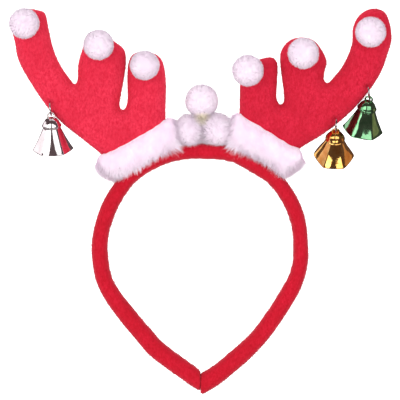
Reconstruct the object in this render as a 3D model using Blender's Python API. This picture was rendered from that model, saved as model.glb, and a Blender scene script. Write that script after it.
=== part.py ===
"""Reindeer antler headband: a padded plush band, two padded three-tine antlers sewn into white fur
trims, white pompoms on the tine tips and at the centre, and three plated bells on jump rings.

Metres, +Z up as worn, the front faces -Y. The origin is on the inner face of the band at its top,
where the band sits on the head.
"""
import math

import bmesh
import bpy
import numpy as np
from mathutils import Matrix, Vector, geometry

# Clearance that touching pieces keep, the finest distance that counts as the same point, and the
# number of steps that a smooth curve takes to each row of its table
GAP = 0.0003
TINY = 1e-7
CURVE_STEPS = 8

# Headband: a padded strip bent to a teardrop, whose two ends nearly meet at the bottom point
BAND_HALF_THICK = 0.0045
BAND_HALF_DEPTH = 0.0075
BAND_STATIONS = 46
BAND_SIDES = 12
BAND_SQUARENESS = 2.6

# The strip's last sections stand upright, so that the ends face each other.
# Columns: share of the strip's length from its end, scale of the section
BAND_ENDS = ((0.0, 0.90), (0.004, 1.20))
BAND_FIRST_FULL = 0.016

# The middle of the strip as (x, z), from the left end at the bottom, over the top, to the right end
BAND_PATH = (
    (0.0000, -0.1293), (-0.0075, -0.1234), (-0.0165, -0.1170), (-0.0260, -0.1096),
    (-0.0326, -0.1020), (-0.0423, -0.0905), (-0.0510, -0.0788), (-0.0558, -0.0690),
    (-0.0578, -0.0583), (-0.0581, -0.0489), (-0.0563, -0.0385), (-0.0520, -0.0266),
    (-0.0459, -0.0166), (-0.0400, -0.0095), (-0.0311, -0.0032), (-0.0196, 0.0020),
    (-0.0075, 0.0043), (0.0035, 0.0046), (0.0145, 0.0037), (0.0236, 0.0010), (0.0364, -0.0065),
    (0.0440, -0.0122), (0.0526, -0.0247), (0.0570, -0.0368), (0.0583, -0.0489),
    (0.0583, -0.0586), (0.0560, -0.0684), (0.0512, -0.0783), (0.0435, -0.0905),
    (0.0354, -0.1016), (0.0270, -0.1105), (0.0165, -0.1196), (0.0085, -0.1259), (0.0007, -0.1308),
)

# Antlers: two plush layers stuffed flat, with the seam round the middle of the edge
ANTLER_HALF_THICK = 0.0065
ANTLER_EDGE_WIDTH = 0.0085
ANTLER_SPACING = 0.0036
ANTLER_INSETS = (0.0009, 0.0028, 0.0056)

# Outlines seen from the front as (x, z): up the inner tine, over the middle and outer tines, down
# the outer edge, and back along the base, which the fur trim hides
LEFT_OUTLINE = (
    (-0.0191, 0.0110), (-0.0200, 0.0250), (-0.0197, 0.0435), (-0.0212, 0.0551),
    (-0.0249, 0.0603), (-0.0319, 0.0624), (-0.0386, 0.0609), (-0.0415, 0.0557),
    (-0.0422, 0.0476), (-0.0420, 0.0360), (-0.0428, 0.0307), (-0.0448, 0.0285),
    (-0.0466, 0.0313), (-0.0455, 0.0389), (-0.0438, 0.0481), (-0.0429, 0.0574),
    (-0.0442, 0.0638), (-0.0496, 0.0682), (-0.0545, 0.0731), (-0.0603, 0.0745),
    (-0.0658, 0.0713), (-0.0682, 0.0638), (-0.0706, 0.0551), (-0.0710, 0.0464),
    (-0.0723, 0.0435), (-0.0745, 0.0452), (-0.0806, 0.0539), (-0.0850, 0.0638),
    (-0.0879, 0.0760), (-0.0897, 0.0842), (-0.0940, 0.0863), (-0.1015, 0.0870),
    (-0.1076, 0.0835), (-0.1092, 0.0760), (-0.1073, 0.0673), (-0.1053, 0.0574),
    (-0.0992, 0.0458), (-0.0886, 0.0301), (-0.0790, 0.0201), (-0.0687, 0.0119),
    (-0.0577, 0.0032), (-0.0516, -0.0020), (-0.0406, -0.0003), (-0.0296, 0.0055),
)
RIGHT_OUTLINE = (
    (0.0225, 0.0110), (0.0229, 0.0280), (0.0231, 0.0412), (0.0235, 0.0493), (0.0264, 0.0551),
    (0.0325, 0.0572), (0.0383, 0.0588), (0.0423, 0.0587), (0.0449, 0.0551), (0.0448, 0.0458),
    (0.0443, 0.0365), (0.0452, 0.0331), (0.0467, 0.0316), (0.0486, 0.0336), (0.0484, 0.0400),
    (0.0472, 0.0487), (0.0464, 0.0574), (0.0474, 0.0635), (0.0518, 0.0686), (0.0585, 0.0706),
    (0.0653, 0.0691), (0.0699, 0.0644), (0.0734, 0.0571), (0.0723, 0.0508), (0.0719, 0.0461),
    (0.0740, 0.0441), (0.0774, 0.0473), (0.0821, 0.0531), (0.0860, 0.0606), (0.0883, 0.0679),
    (0.0887, 0.0760), (0.0922, 0.0832), (0.0991, 0.0871), (0.1063, 0.0858), (0.1097, 0.0800),
    (0.1111, 0.0699), (0.1086, 0.0603), (0.1047, 0.0499), (0.0977, 0.0390), (0.0902, 0.0302),
    (0.0814, 0.0220), (0.0708, 0.0140), (0.0592, 0.0070), (0.0528, 0.0015), (0.0441, -0.0017),
    (0.0331, 0.0046),
)

# Fur trims: deep-pile strips wrapped round the antler's base and the band below it.
# Columns of a row for each section: upper edge (x, z), lower edge (x, z), share of the depth
TRIM_HALF_DEPTH = 0.0118
TRIM_SIDES = 12
TRIM_STEPS = 2
TRIM_SQUARENESS = 2.3
TRIM_VALLEY = 0.93
LEFT_TRIM = (
    (-0.0595, 0.0006, -0.0586, -0.0035, 0.55),
    (-0.0577, 0.0031, -0.0557, -0.0073, 0.88),
    (-0.0534, 0.0055, -0.0487, -0.0104, 1.0),
    (-0.0452, 0.0100, -0.0418, -0.0106, 1.0),
    (-0.0360, 0.0153, -0.0325, -0.0061, 1.0),
    (-0.0267, 0.0205, -0.0232, -0.0009, 1.0),
    (-0.0209, 0.0237, -0.0174, 0.0038, 0.98),
    (-0.0174, 0.0247, -0.0151, 0.0055, 0.92),
    (-0.0157, 0.0232, -0.0141, 0.0075, 0.78),
)
RIGHT_TRIM = (
    (0.0197, 0.0261, 0.0190, 0.0072, 0.78),
    (0.0224, 0.0276, 0.0206, 0.0052, 0.92),
    (0.0267, 0.0255, 0.0244, 0.0032, 1.0),
    (0.0360, 0.0209, 0.0325, -0.0006, 1.0),
    (0.0464, 0.0139, 0.0406, -0.0046, 1.0),
    (0.0539, 0.0094, 0.0458, -0.0096, 1.0),
    (0.0577, 0.0072, 0.0505, -0.0070, 0.95),
    (0.0589, 0.0043, 0.0563, -0.0032, 0.85),
    (0.0595, 0.0017, 0.0586, -0.0015, 0.55),
)

# Pompoms. Columns: name, centre (x, z), half width, half height
TINE_POMPOM_FORWARD = 0.0122
LEFT_POMPOMS = (
    ("pompom_left_outer", (-0.1014, 0.0780), 0.0090, 0.0090),
    ("pompom_left_middle", (-0.0585, 0.0657), 0.0090, 0.0090),
    ("pompom_left_inner", (-0.0319, 0.0538), 0.0087, 0.0087),
)
RIGHT_POMPOMS = (
    ("pompom_right_outer", (0.0984, 0.0730), 0.0090, 0.0090),
    ("pompom_right_middle", (0.0596, 0.0608), 0.0092, 0.0092),
    ("pompom_right_inner", (0.0275, 0.0508), 0.0093, 0.0093),
)
CENTRE_POMPOM_FORWARD = 0.0030
CENTRE_POMPOMS = (
    ("pompom_centre_top", (0.0010, 0.0335), 0.0099, 0.0100),
    ("pompom_centre_left", (-0.0064, 0.0162), 0.0080, 0.0091),
    ("pompom_centre_right", (0.0102, 0.0167), 0.0088, 0.0092),
)
POMPOM_VALLEY = 0.93
POMPOM_SIDES = 14
POMPOM_LEVELS = 8

# Jump rings, each with the bell that hangs on it. Angles in degrees.
# Columns: name, point (x, z) where the ring goes into the antler, lean of the ring to the left,
# swing of the bell's mouth to the back, lean of the bell to the left
BELLS = (
    ("silver", (-0.0869, 0.0327), -6.0, 23.0, -2.5),
    ("gold", (0.0787, 0.0233), 1.0, 49.0, 2.0),
    ("green", (0.0970, 0.0420), -9.0, 33.0, 10.0),
)
BELL_COLOURS = {"silver": (0.78, 0.78, 0.80), "gold": (0.93, 0.66, 0.20), "green": (0.10, 0.45, 0.22)}
RING_RADIUS = 0.0038
RING_WIRE = 0.0005
RING_SIDES = 14
RING_WIRE_SIDES = 5
RING_FORWARD = 0.0052
RING_TUNNEL = RING_WIRE + 1.4 * GAP
LOOP_RADIUS = 0.0020
LOOP_WIRE = 0.00055
LOOP_SINK = 0.0016
LOOP_PLAY = 0.0005
LOOP_SIDES = 8
BELL_SIDES = 18
BELL_WALL = 0.0008
BELL_HEIGHT = 0.0196
BELL_CORNERS = 0.10
BELL_CORNER_COUNT = 6

# The bell's outer wall as (radius, drop below the crown's top); the ledge ends the round crown.
# The inner wall follows some of its rows, counted from the crown and listed from the mouth up
BELL_LEDGE = 0.0050
INNER_ROWS = (9, 6, 4, 2, 0)
BELL_PROFILE = (
    (0.0018, 0.0002), (0.0036, 0.0014), (0.0048, 0.0032), (0.0055, BELL_LEDGE), (0.0051, 0.0058),
    (0.0067, 0.0090), (0.0083, 0.0123), (0.0100, 0.0156), (0.0112, 0.0180), (0.0118, BELL_HEIGHT),
)
CLAPPER_SIDES = 8
CLAPPER_BALL = 0.0020
CLAPPER_STEM = 0.0006
CLAPPER_DROP = 0.0105

WHITE_PLUSH = (0.93, 0.86, 0.92)
ANTLER_RED = (0.72, 0.03, 0.07)
BAND_RED = (0.50, 0.02, 0.045)
STEEL = (0.75, 0.75, 0.77)


def clear_scene():
    for old in list(bpy.data.objects):
        bpy.data.objects.remove(old, do_unlink=True)


def material(name, colour, roughness, metallic=0.0):
    """A Principled material with the piece's colour, roughness and metallic value."""
    made = bpy.data.materials.new(name)
    made.use_nodes = True
    shader = made.node_tree.nodes["Principled BSDF"]
    shader.inputs["Base Color"].default_value = (*colour, 1.0)
    shader.inputs["Roughness"].default_value = roughness
    shader.inputs["Metallic"].default_value = metallic
    return made


def mesh_object(name, shape, look=None):
    """An object from vertices and faces, with its faces made to point out."""
    verts, faces = shape
    mesh = bpy.data.meshes.new(name)
    mesh.from_pydata([tuple(v) for v in verts], [], faces)
    work = bmesh.new()
    work.from_mesh(mesh)
    bmesh.ops.recalc_face_normals(work, faces=work.faces)
    work.to_mesh(mesh)
    work.free()
    mesh.shade_smooth()
    if look:
        mesh.materials.append(look)
    made = bpy.data.objects.new(name, mesh)
    bpy.context.scene.collection.objects.link(made)
    return made


def cutter(name, shape):
    """A shape that only cuts or joins another."""
    made = mesh_object(name, shape)
    made.hide_render = True
    made.display_type = "WIRE"
    return made


def boolean(target, tool, operation):
    step = target.modifiers.new(operation.lower() + "_" + tool.name, "BOOLEAN")
    step.operation = operation
    step.object = tool
    step.solver = "EXACT"


def smooth_points(points, steps, closed):
    """Points on a smooth curve through the rows of a table, a number of steps to each row."""
    rows = [Vector(p) for p in points]
    count = len(rows)
    out = []
    for i in range(count if closed else count - 1):
        before = rows[(i - 1) % count] if closed or i > 0 else 2 * rows[0] - rows[1]
        after = rows[(i + 2) % count] if closed or i + 2 < count else 2 * rows[-1] - rows[-2]
        a, b = rows[i], rows[(i + 1) % count]
        for k in range(steps):
            t = k / steps
            out.append(0.5 * (2 * a + (b - before) * t
                              + (2 * before - 5 * a + 4 * b - after) * t * t
                              + (3 * a - before - 3 * b + after) * t ** 3))
    if not closed:
        out.append(rows[-1])
    return np.array([tuple(p) for p in out])


def along_curve(line, stops):
    """Points of a curve at given shares of its length."""
    travel = np.concatenate([[0.0], np.cumsum(np.linalg.norm(np.diff(line, axis=0), axis=1))])
    return np.column_stack([np.interp(np.array(stops) * travel[-1], travel, line[:, k])
                            for k in range(line.shape[1])])


def closed_rim(outline, spacing):
    """Evenly spaced points round a smooth closed outline."""
    line = smooth_points(outline, CURVE_STEPS, closed=True)
    line = np.vstack([line, line[:1]])
    length = float(np.linalg.norm(np.diff(line, axis=0), axis=1).sum())
    count = round(length / spacing)
    return along_curve(line, np.arange(count) / count)


def loft(rings):
    """Vertices and faces that join rings of equal length, closed at both ends."""
    sides = len(rings[0])
    verts = [v for ring in rings for v in ring]
    faces = [tuple(range(sides)), tuple(range(len(verts) - sides, len(verts)))]
    for r in range(len(rings) - 1):
        for s in range(sides):
            n = (s + 1) % sides
            faces.append((r * sides + s, r * sides + n, (r + 1) * sides + n, (r + 1) * sides + s))
    return verts, faces


def torus(ring_radius, wire_radius, sides, wire_sides):
    """A closed ring in the local XZ plane, with its hole along Y."""
    verts = []
    faces = []
    for i in range(sides):
        turn = 2 * math.pi * i / sides
        after = (i + 1) % sides
        for k in range(wire_sides):
            bend = 2 * math.pi * k / wire_sides
            reach = ring_radius + wire_radius * math.cos(bend)
            verts.append(Vector((reach * math.cos(turn), wire_radius * math.sin(bend),
                                 reach * math.sin(turn))))
            n = (k + 1) % wire_sides
            faces.append((i * wire_sides + k, i * wire_sides + n,
                          after * wire_sides + n, after * wire_sides + k))
    return verts, faces


def superellipse(angle, half_a, half_b, power):
    c, s = math.cos(angle), math.sin(angle)
    return (half_a * math.copysign(abs(c) ** (2 / power), c),
            half_b * math.copysign(abs(s) ** (2 / power), s))


def band_shape(grow=0.0):
    """The band's strip, swept along its path; grow makes it fatter all round, as a cutter."""
    near = [share for share, scale in BAND_ENDS]
    middle = np.linspace(BAND_FIRST_FULL, 1.0 - BAND_FIRST_FULL, BAND_STATIONS)
    stops = near + list(middle) + [1.0 - share for share in reversed(near)]
    scales = [scale for share, scale in BAND_ENDS]
    scales = scales + [1.0] * BAND_STATIONS + scales[::-1]
    path = along_curve(smooth_points(BAND_PATH, CURVE_STEPS, closed=False), stops)
    upright = len(BAND_ENDS)
    last = len(path) - 1
    rings = []
    for i, (x, z) in enumerate(path):
        ahead = path[min(i + 1, last)] - path[max(i - 1, 0)]
        ahead = ahead / np.linalg.norm(ahead)
        across = np.array([-ahead[1], ahead[0]])
        if i < upright or i > last - upright:
            across = np.array([0.0, math.copysign(1.0, across[1])])
        ring = []
        for s in range(BAND_SIDES):
            out, deep = superellipse(2 * math.pi * s / BAND_SIDES,
                                     BAND_HALF_THICK * scales[i] + grow,
                                     BAND_HALF_DEPTH * min(scales[i], 1.0) + grow,
                                     BAND_SQUARENESS)
            ring.append(Vector((x + across[0] * out, deep, z + across[1] * out)))
        rings.append(ring)
    return loft(rings)


def turning(rim):
    """1 for an outline that runs anticlockwise, -1 for one that runs clockwise."""
    ahead = np.roll(rim, -1, axis=0)
    return math.copysign(1.0, float((rim[:, 0] * ahead[:, 1] - ahead[:, 0] * rim[:, 1]).sum()))


def inward(rim):
    """The direction into a closed outline at each of its points."""
    along = np.roll(rim, -1, axis=0) - np.roll(rim, 1, axis=0)
    along = along / np.linalg.norm(along, axis=1)[:, None]
    return np.column_stack([-along[:, 1], along[:, 0]]) * turning(rim)


def edge_distance(points, rim):
    """How far each point lies from a closed outline."""
    start = rim[None, :, :]
    run = np.roll(rim, -1, axis=0)[None, :, :] - start
    offset = points[:, None, :] - start
    t = np.clip((offset * run).sum(2) / (run * run).sum(2), 0.0, 1.0)
    return np.sqrt(((offset - t[:, :, None] * run) ** 2).sum(2)).min(1)


def inside(points, rim):
    """Whether each point lies inside a closed outline."""
    x, z = points[:, 0][:, None], points[:, 1][:, None]
    x0, z0 = rim[:, 0][None], rim[:, 1][None]
    x1, z1 = np.roll(rim[:, 0], -1)[None], np.roll(rim[:, 1], -1)[None]
    rise = np.where(np.abs(z1 - z0) < TINY, TINY, z1 - z0)
    crossed = ((z0 > z) != (z1 > z)) & (x < x0 + (z - z0) * (x1 - x0) / rise)
    return crossed.sum(1) % 2 == 1


def inset_points(rim, distance):
    """Points a distance inside a closed outline, apart from those that a narrow place crowds."""
    moved = rim + inward(rim) * distance
    clear = edge_distance(moved, rim) > 0.9 * distance
    return moved[clear & inside(moved, rim)]


def filling_points(rim, margin):
    """Staggered rows of points over the middle of a closed outline."""
    pitch = 1.7 * ANTLER_SPACING
    low, high = rim.min(0), rim.max(0)
    rows = np.arange(low[1], high[1], pitch * math.sqrt(0.75))
    grid = np.array([(x + 0.5 * pitch * (i % 2), z)
                     for i, z in enumerate(rows) for x in np.arange(low[0], high[0], pitch)])
    grid = grid[inside(grid, rim)]
    return grid[edge_distance(grid, rim) > margin]


def flat_triangles(rim):
    """The outline's inside as points and triangles, none with all its corners on the rim."""
    layers = [rim] + [inset_points(rim, d) for d in ANTLER_INSETS]
    layers.append(filling_points(rim, ANTLER_INSETS[-1] + 0.5 * ANTLER_SPACING))
    points = np.vstack(layers)
    count = len(rim)
    while True:
        found = geometry.delaunay_2d_cdt([Vector(p) for p in points], [], [list(range(count))],
                                         1, TINY)
        points = np.array([tuple(p) for p in found[0]])
        ears = [points[list(tri)].mean(0) for tri in found[2] if max(tri) < count]
        if not ears:
            return points, [tuple(tri) for tri in found[2]]
        points = np.vstack([points, ears])


def antler_shape(outline, grow=0.0):
    """A closed pillow whose seam is the outline; grow moves its surface outward, as a cutter."""
    rim = closed_rim(outline, ANTLER_SPACING)
    count = len(rim)
    points, triangles = flat_triangles(rim)
    share = np.clip(edge_distance(points, rim) / ANTLER_EDGE_WIDTH, TINY, 1.0)
    height = ANTLER_HALF_THICK * np.sqrt(1.0 - (1.0 - share) ** 2)
    if grow:
        slope = ANTLER_HALF_THICK ** 2 / ANTLER_EDGE_WIDTH * (1.0 - share) / height
        height = height + grow * np.sqrt(1.0 + np.minimum(slope, 4.0) ** 2)
        points[:count] = rim - inward(rim) * 1.3 * grow
    height[:count] = 0.0
    verts = [Vector((x, -h, z)) for (x, z), h in zip(points, height)]
    back = {}
    for i in range(count, len(points)):
        back[i] = len(verts)
        verts.append(Vector((points[i][0], height[i], points[i][1])))
    faces = list(triangles)
    for tri in triangles:
        faces.append(tuple(back.get(i, i) for i in reversed(tri)))
    return verts, faces


def trim_shape(rows):
    """A deep-pile strip lofted through its sections, its surface drawn in between soft locks."""
    sections = smooth_points(rows, TRIM_STEPS, closed=False)
    rings = []
    for i, (top_x, top_z, low_x, low_z, share) in enumerate(sections):
        middle = Vector(((top_x + low_x) / 2, (top_z + low_z) / 2))
        up = Vector((top_x, top_z)) - middle
        ring = []
        for s in range(TRIM_SIDES):
            lock = TRIM_VALLEY if (s + i) % 2 else 1.0
            rise, deep = superellipse(2 * math.pi * s / TRIM_SIDES, lock,
                                      TRIM_HALF_DEPTH * share * lock, TRIM_SQUARENESS)
            ring.append(Vector((middle.x + up.x * rise, deep, middle.y + up.y * rise)))
        rings.append(ring)
    return loft(rings)


def pompom_shape(centre, half_width, half_height):
    """A ball of tufts: on each level every second point is a tip, and the others are drawn in."""
    rings = []
    for level in range(POMPOM_LEVELS):
        rise = math.pi * ((level + 0.5) / POMPOM_LEVELS - 0.5)
        ring = []
        for s in range(POMPOM_SIDES):
            turn = 2 * math.pi * s / POMPOM_SIDES
            reach = POMPOM_VALLEY if (s + level) % 2 else 1.0
            ring.append(centre + reach * Vector((half_width * math.cos(rise) * math.cos(turn),
                                                 half_width * math.cos(rise) * math.sin(turn),
                                                 half_height * math.sin(rise))))
        rings.append(ring)
    return loft(rings)


def bell_ring(radius, drop):
    """One level of the bell: round at the crown, a rounded hexagon at the mouth."""
    share = max(0.0, (drop - BELL_LEDGE) / (BELL_HEIGHT - BELL_LEDGE))
    ring = []
    for s in range(BELL_SIDES):
        turn = 2 * math.pi * s / BELL_SIDES
        flat = 0.5 * (1.0 - math.cos(BELL_CORNER_COUNT * turn))
        reach = radius * (1.0 - BELL_CORNERS * share * flat)
        ring.append(Vector((reach * math.cos(turn), reach * math.sin(turn), crown_level() - drop)))
    return ring


def crown_level():
    """Height of the crown's top below the loop's centre, in the bell's own frame."""
    return -(LOOP_RADIUS + LOOP_WIRE - LOOP_SINK)


def inner_profile():
    """The bell's inner wall, from the mouth up: the outer wall moved in by its thickness."""
    rows = [Vector(row) for row in BELL_PROFILE]
    moved = []
    for i, row in enumerate(rows[:-1]):
        run = (rows[i + 1] - (rows[i - 1] if i else Vector((0.0, 0.0)))).normalized()
        moved.append(row + Vector((-run.y, run.x)) * BELL_WALL)
    moved.append(rows[-1] - Vector((BELL_WALL, 0.0)))
    return [moved[i] for i in INNER_ROWS]


def bell_shape():
    """A flared bell with its mouth open, hanging along -Z from the loop's centre."""
    rings = [bell_ring(radius, drop) for radius, drop in BELL_PROFILE]
    rings += [bell_ring(radius, drop) for radius, drop in inner_profile()]
    return loft(rings)


def clapper_shape():
    """A stem and ball in one, turned round the bell's axis, just under the crown."""
    top = LOOP_SINK + 2 * GAP
    slant = CLAPPER_BALL * math.sqrt(0.5)
    rows = ((CLAPPER_STEM, top), (CLAPPER_STEM, CLAPPER_DROP - CLAPPER_BALL),
            (slant, CLAPPER_DROP - slant), (CLAPPER_BALL, CLAPPER_DROP),
            (slant, CLAPPER_DROP + slant), (CLAPPER_STEM, CLAPPER_DROP + CLAPPER_BALL))
    rings = []
    for radius, drop in rows:
        rings.append([Vector((radius * math.cos(2 * math.pi * s / CLAPPER_SIDES),
                              radius * math.sin(2 * math.pi * s / CLAPPER_SIDES),
                              crown_level() - drop)) for s in range(CLAPPER_SIDES)])
    return loft(rings)


def hanging(lean, swing=0.0):
    """Rotation of what hangs along -Z: leant to the left, its lower end swung to the back."""
    return Matrix.Rotation(math.radians(lean), 4, "Y") @ Matrix.Rotation(math.radians(swing), 4, "X")


def bell_frames(pierce, ring_lean, swing, bell_lean):
    """World matrices of a jump ring and of the bell whose loop hangs on it."""
    ring_turn = hanging(ring_lean)
    down = ring_turn @ Vector((0.0, 0.0, -1.0))
    top = Vector((pierce[0], -RING_FORWARD, pierce[1]))
    sideways = Matrix.Rotation(math.pi / 2, 4, "Z")
    ring = Matrix.Translation(top + down * RING_RADIUS) @ ring_turn @ sideways
    held = top + down * (2 * RING_RADIUS - RING_WIRE - LOOP_WIRE - LOOP_PLAY)
    bell_turn = hanging(bell_lean, swing)
    loop_centre = held + bell_turn @ Vector((0.0, 0.0, -LOOP_RADIUS))
    return ring, Matrix.Translation(loop_centre) @ bell_turn


def make_bell(name, ring_frame, bell_frame):
    """A jump ring, the bell with its loop, and the clapper inside."""
    ring = mesh_object("ring_" + name, torus(RING_RADIUS, RING_WIRE, RING_SIDES, RING_WIRE_SIDES),
                       material("ring_" + name, STEEL, 0.25, 1.0))
    ring.matrix_world = ring_frame
    plating = material("bell_" + name, BELL_COLOURS[name], 0.15, 1.0)
    bell = mesh_object("bell_" + name, bell_shape(), plating)
    bell.matrix_world = bell_frame
    loop = cutter("loop_" + name, torus(LOOP_RADIUS, LOOP_WIRE, LOOP_SIDES, RING_WIRE_SIDES))
    loop.matrix_world = bell_frame
    boolean(bell, loop, "UNION")
    clapper = mesh_object("clapper_" + name, clapper_shape(), material("clapper_" + name, STEEL, 0.3, 1.0))
    clapper.matrix_world = bell_frame


def make_side(side, outline, trim_rows, pompoms, band_tool, bells):
    """An antler with its fur trim, the pompoms on its tines and the bells on its edge."""
    antler = mesh_object("antler_" + side, antler_shape(outline),
                         material("antler_" + side, ANTLER_RED, 0.9))
    antler_tool = cutter("antler_tool_" + side, antler_shape(outline, GAP))
    trim = mesh_object("fur_trim_" + side, trim_shape(trim_rows),
                       material("fur_trim_" + side, WHITE_PLUSH, 0.95))
    boolean(trim, band_tool, "DIFFERENCE")
    boolean(trim, antler_tool, "DIFFERENCE")
    for name, centre, half_width, half_height in pompoms:
        middle = Vector((centre[0], -TINE_POMPOM_FORWARD, centre[1]))
        ball = mesh_object(name, pompom_shape(middle, half_width, half_height),
                           material(name, WHITE_PLUSH, 0.95))
        boolean(ball, antler_tool, "DIFFERENCE")
    for name, pierce, ring_lean, swing, bell_lean in bells:
        ring_frame, bell_frame = bell_frames(pierce, ring_lean, swing, bell_lean)
        tunnel = cutter("tunnel_" + name, torus(RING_RADIUS, RING_TUNNEL, RING_SIDES, RING_WIRE_SIDES))
        tunnel.matrix_world = ring_frame
        boolean(antler, tunnel, "DIFFERENCE")
        make_bell(name, ring_frame, bell_frame)


def make_centre(band_tool):
    """The three pompoms on the band's top, seated on it and on each other."""
    for name, centre, half_width, half_height in CENTRE_POMPOMS:
        middle = Vector((centre[0], -CENTRE_POMPOM_FORWARD, centre[1]))
        ball = mesh_object(name, pompom_shape(middle, half_width, half_height),
                           material(name, WHITE_PLUSH, 0.95))
        boolean(ball, band_tool, "DIFFERENCE")


def main():
    clear_scene()
    mesh_object("headband", band_shape(), material("headband", BAND_RED, 0.9))
    band_tool = cutter("band_tool", band_shape(GAP))
    left_bells = [row for row in BELLS if row[1][0] < 0.0]
    right_bells = [row for row in BELLS if row[1][0] > 0.0]
    make_side("left", LEFT_OUTLINE, LEFT_TRIM, LEFT_POMPOMS, band_tool, left_bells)
    make_side("right", RIGHT_OUTLINE, RIGHT_TRIM, RIGHT_POMPOMS, band_tool, right_bells)
    make_centre(band_tool)


main()
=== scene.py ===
"""Looks of the reindeer antler headband: padded plush, white fur and plated bells over the frame.

Metres, +Z up, the front faces -Y. The origin is on the inner face of the band at its top.
"""

import math

import bpy
import numpy as np
from mathutils import Matrix, Vector, geometry, kdtree


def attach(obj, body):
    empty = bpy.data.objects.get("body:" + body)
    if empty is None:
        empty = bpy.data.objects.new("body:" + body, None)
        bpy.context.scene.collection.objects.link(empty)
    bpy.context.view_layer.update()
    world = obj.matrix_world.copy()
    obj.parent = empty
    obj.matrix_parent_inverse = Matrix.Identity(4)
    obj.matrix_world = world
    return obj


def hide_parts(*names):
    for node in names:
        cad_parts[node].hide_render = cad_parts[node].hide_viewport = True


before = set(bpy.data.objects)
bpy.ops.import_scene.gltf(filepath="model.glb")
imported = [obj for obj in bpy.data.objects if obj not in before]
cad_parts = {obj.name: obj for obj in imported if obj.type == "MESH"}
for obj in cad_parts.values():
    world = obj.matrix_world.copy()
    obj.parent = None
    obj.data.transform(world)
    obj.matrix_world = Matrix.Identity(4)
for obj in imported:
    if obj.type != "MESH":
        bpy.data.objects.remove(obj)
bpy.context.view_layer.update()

TINY = 1e-7
LEAST_LENGTH = 1e-12
CURVE_STEPS = 8
SEED = 20
SEARCH_BLOCK = 2000

# Headband: the solid's middle line, with its two ends moved until they nearly touch
BAND_LENGTH = 0.38
BAND_HALF_THICK = 0.0045
BAND_HALF_DEPTH = 0.0075

# The padding is a little uneven. Columns: share of the strip's length, half of its thickness
BAND_PADDING = (
    (0.00, 0.0050), (0.04, 0.0053), (0.14, 0.0052), (0.20, 0.0048), (0.26, 0.0046), (0.34, 0.0046),
    (0.40, BAND_HALF_THICK), (0.62, BAND_HALF_THICK), (0.68, 0.0043), (0.76, 0.0043), (0.80, 0.0049),
    (0.90, 0.0050), (0.96, 0.0053), (1.00, 0.0055),
)
BAND_SQUARENESS = 2.6
BAND_STATIONS = 420
BAND_SIDES = 40

# The strip's ends: how much they swell, how much of the section their faces lose, and the shares
# of the length over which they swell, are rounded off and turn upright
BAND_END_SCALE = 1.10
BAND_END_LOSS = 0.20
BAND_END_SWELL = 0.010
BAND_END_ROUNDING = 0.004
BAND_END_TURN = 0.018

# Its relief: lumps as a share of the thickness, wrinkles across the inner side, which wander by a
# distance for each radian, and the seam along the back, whose width is an angle
BAND_LUMP_SIZE = 0.034
BAND_LUMP_SHARE = 0.015
BAND_WRINKLE_SIZE = 0.0065
BAND_WRINKLE_HEIGHT = 0.00016
BAND_WRINKLE_WANDER = 0.0012
BAND_SEAM_WIDTH = 0.10
BAND_SEAM_DEPTH = 0.0005
BAND_PATH = (
    (0.0003, -0.1291), (-0.0075, -0.1234), (-0.0165, -0.1170), (-0.0260, -0.1096),
    (-0.0326, -0.1020), (-0.0423, -0.0905), (-0.0510, -0.0788), (-0.0558, -0.0690),
    (-0.0578, -0.0583), (-0.0581, -0.0489), (-0.0563, -0.0385), (-0.0520, -0.0266),
    (-0.0459, -0.0166), (-0.0400, -0.0095), (-0.0311, -0.0032), (-0.0196, 0.0020),
    (-0.0075, 0.0043), (0.0035, 0.0046), (0.0145, 0.0037), (0.0236, 0.0010), (0.0364, -0.0065),
    (0.0440, -0.0122), (0.0526, -0.0247), (0.0570, -0.0368), (0.0583, -0.0489),
    (0.0583, -0.0586), (0.0560, -0.0684), (0.0512, -0.0783), (0.0435, -0.0905),
    (0.0354, -0.1016), (0.0270, -0.1105), (0.0165, -0.1196), (0.0085, -0.1259), (0.0004, -0.1308),
)

# Nap of the plush: short triangles, combed down and a little to one side
BAND_NAP_COUNT = 36000
ANTLER_NAP_COUNT = 40000
NAP_LENGTH = (0.0006, 0.0013)
NAP_WIDTH = (0.00010, 0.00020)
NAP_COMB = (0.15, 0.0, -0.75)
NAP_COMB_SHARE = 0.55
NAP_LIFT = 0.75
NAP_SCATTER = 0.42
NAP_SINK = 0.0001

# Antlers. The mesh: spacing round the outline and inside it, and rows close to the seam
ANTLER_HALF_THICK = 0.0065
ANTLER_EDGE_WIDTH = 0.0085
ANTLER_SPACING = 0.0011
ANTLER_PITCH = 1.25 * ANTLER_SPACING
ANTLER_INSETS = (0.00004, 0.0002, 0.0005, 0.0010, 0.0018, 0.0028, 0.0040, 0.0054)

# The stuffing's lumps (width, height), the gathers at the seam, which are deeper in the slits, and
# the pull at the bottom of the slits
SEAM_SINK = 0.0004
SEAM_FADE = 0.0012
LEAST_HEIGHT = 0.00004
WIDE_LUMPS = (0.021, 0.00030)
SMALL_LUMPS = (0.009, 0.00010)
GATHER_SIZE = 0.0060
GATHER_SLANT = 0.3
GATHER_AT_SEAM = 0.00012
GATHER_IN_SLITS = 0.00045
GATHER_REACH = 0.0035
SLIT_PULL = 0.0009
SLIT_PULL_REACH = 0.004
SLIT_STEP = 4

# The dents where the jump rings go in
DENT_DEPTH = 0.0012
DENT_REACH = 0.0016
DENT_FADE = 0.001

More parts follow.
